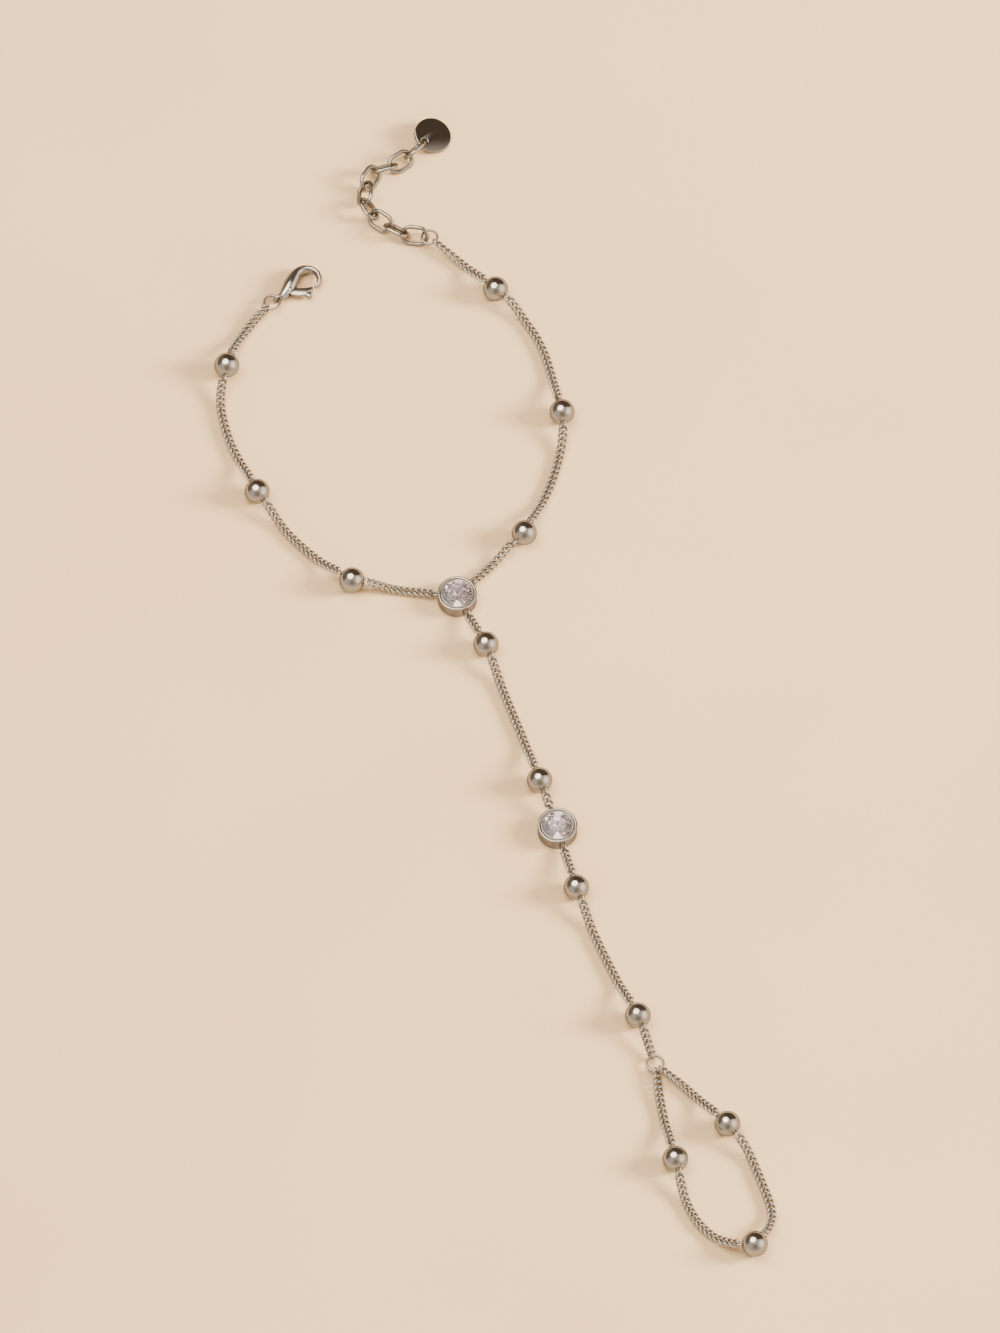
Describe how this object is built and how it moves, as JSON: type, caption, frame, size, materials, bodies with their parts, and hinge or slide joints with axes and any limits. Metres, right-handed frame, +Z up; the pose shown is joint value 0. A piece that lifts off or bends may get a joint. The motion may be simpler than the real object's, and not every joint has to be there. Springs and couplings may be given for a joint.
{
  "type": "hand chain bracelet",
  "caption": "Hand chain with polished beads: a wrist chain with a lobster clasp and extender, a chain down the back of the hand with round stone settings, and a finger loop.",
  "frame": {"origin": "centre of the laid-out bracelet's bounding box, at the surface it lies on", "axes": "+X to the right and +Y towards the clasp, seen from above; +Z up from the surface"},
  "size_m": [0.0873, 0.203, 0.004],
  "materials": {
    "chain_metal": "polished wire, warm silver colour",
    "bead_metal": "mirror polished",
    "setting_metal": "polished",
    "clasp_metal": "polished, tumbled",
    "ring_metal": "polished wire",
    "extender_metal": "polished wire",
    "tag_metal": "mirror polished, plain",
    "stone": "clear brilliant cut"
  },
  "bodies": {
    "bracelet": {"chain_clasp_side": "chain_metal", "chain_extender_side": "chain_metal", "chain_hand_upper": "chain_metal", "chain_hand_lower": "chain_metal", "chain_finger_loop": "chain_metal", "bead_wrist_1": "bead_metal", "bead_wrist_2": "bead_metal", "bead_wrist_3": "bead_metal", "bead_wrist_4": "bead_metal", "bead_wrist_5": "bead_metal", "bead_wrist_6": "bead_metal", "bead_hand_1": "bead_metal", "bead_hand_2": "bead_metal", "bead_hand_3": "bead_metal", "bead_hand_4": "bead_metal", "bead_finger_1": "bead_metal", "bead_finger_2": "bead_metal", "bead_finger_3": "bead_metal", "setting_wrist": "setting_metal", "setting_hand": "setting_metal", "stone_wrist": "stone", "stone_hand": "stone", "clasp_body": "clasp_metal", "clasp_ring": "ring_metal", "extender_ring": "ring_metal", "finger_ring": "ring_metal", "extender_link_1": "extender_metal", "extender_link_2": "extender_metal", "extender_link_3": "extender_metal", "extender_link_4": "extender_metal", "extender_link_5": "extender_metal", "extender_link_6": "extender_metal", "extender_link_7": "extender_metal", "extender_link_8": "extender_metal", "extender_link_9": "extender_metal", "tag": "tag_metal"},
    "clasp_lever": {"clasp_lever": "clasp_metal"}
  },
  "joints": [
    {"name": "clasp_lever_pivot", "type": "hinge", "parent": "bracelet", "child": "clasp_lever", "pos_m": [-0.03162, 0.06958, 0.0011], "axis": [0, 0, 1], "range_deg": [0, 18], "stiffness_Nm_per_rad": 0.004, "springref_deg": -20.05}
  ]
}
